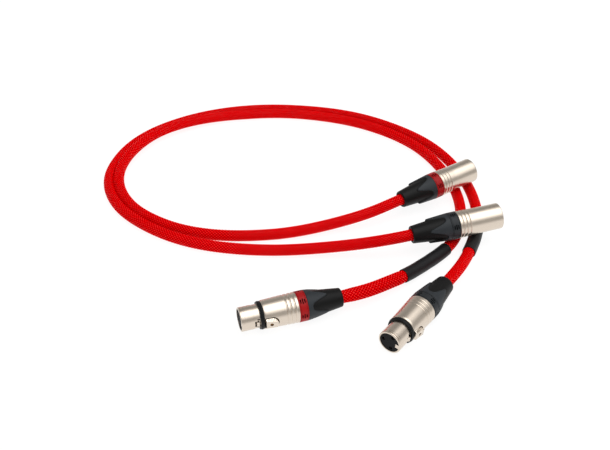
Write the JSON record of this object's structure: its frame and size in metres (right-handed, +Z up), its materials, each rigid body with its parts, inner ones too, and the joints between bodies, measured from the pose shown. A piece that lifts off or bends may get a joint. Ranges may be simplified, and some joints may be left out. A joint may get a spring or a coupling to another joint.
{
  "type": "xlr cable coil",
  "caption": "Pair of braided balanced audio cables, each laid in an open loop with a latching female and a pinned male connector.",
  "frame": {"origin": "middle of the four connectors' box, at the height of the surface that the cables lie on", "axes": "+Z up; +Y away from the front edge, where the two female connectors lie, towards the loops; +X to the right"},
  "size_m": [0.3084, 0.3175, 0.0307],
  "materials": {
    "satin_nickel": "satin nickel plate, faintly warm",
    "black_plastic": "moulded, matte",
    "silver_contact": "silver plated",
    "spring_steel": "drawn steel wire",
    "charcoal_boot": "fine matte moulding, smoother in the scallops",
    "black_rubber": "soft, slightly shiny",
    "red_ring_plastic": "moulded, satin",
    "black_ring_plastic": "moulded, satin",
    "core_insulation": "smooth extruded insulation",
    "red_braid": "tight woven braid of flat red filament bundles",
    "black_heatshrink": "smooth shrunk tubing, semi-matte"
  },
  "bodies": {
    "root": {"red_male_shell": "satin_nickel", "red_male_insert": "black_plastic", "red_male_contact_pins": "silver_contact", "red_male_chuck": "black_plastic", "red_male_coding_ring": "red_ring_plastic", "red_male_boot": "charcoal_boot", "red_male_cable_tail": "red_braid", "red_male_conductors": "core_insulation", "black_male_shell": "satin_nickel", "black_male_insert": "black_plastic", "black_male_contact_pins": "silver_contact", "black_male_chuck": "black_plastic", "black_male_coding_ring": "black_ring_plastic", "black_male_boot": "charcoal_boot", "black_male_cable_tail": "red_braid", "black_male_conductors": "core_insulation", "red_female_shell": "satin_nickel", "red_female_rubber_ring": "black_rubber", "red_female_insert": "black_plastic", "red_female_contact_sockets": "silver_contact", "red_female_latch_pin": "spring_steel", "red_female_latch_spring": "spring_steel", "red_female_ground_spring": "silver_contact", "red_female_chuck": "black_plastic", "red_female_coding_ring": "red_ring_plastic", "red_female_boot": "charcoal_boot", "red_female_cable_tail": "red_braid", "red_female_conductors": "core_insulation", "black_female_shell": "satin_nickel", "black_female_rubber_ring": "black_rubber", "black_female_insert": "black_plastic", "black_female_contact_sockets": "silver_contact", "black_female_latch_pin": "spring_steel", "black_female_latch_spring": "spring_steel", "black_female_ground_spring": "silver_contact", "black_female_chuck": "black_plastic", "black_female_coding_ring": "black_ring_plastic", "black_female_boot": "charcoal_boot", "black_female_cable_tail": "red_braid", "black_female_conductors": "core_insulation", "red_cable": "red_braid", "black_cable": "red_braid", "red_heatshrink": "black_heatshrink", "black_heatshrink": "black_heatshrink"},
    "red_latch": {"red_female_latch": "satin_nickel"},
    "black_latch": {"black_female_latch": "satin_nickel"}
  },
  "joints": [
    {"name": "red_latch_press", "type": "hinge", "parent": "root", "child": "red_latch", "pos_m": [-0.0644, -0.06924, 0.0103], "axis": [0, 0, -1], "range_deg": [0, 4], "stiffness_Nm_per_rad": 0.25, "springref_deg": -4.58, "deforming": ["red_female_latch_spring"]},
    {"name": "black_latch_press", "type": "hinge", "parent": "root", "child": "black_latch", "pos_m": [0.02393, -0.07488, 0.00973], "axis": [-0.0827, 0.0639, -0.9945], "range_deg": [0, 4], "stiffness_Nm_per_rad": 0.25, "springref_deg": -4.58, "deforming": ["black_female_latch_spring"]}
  ]
}
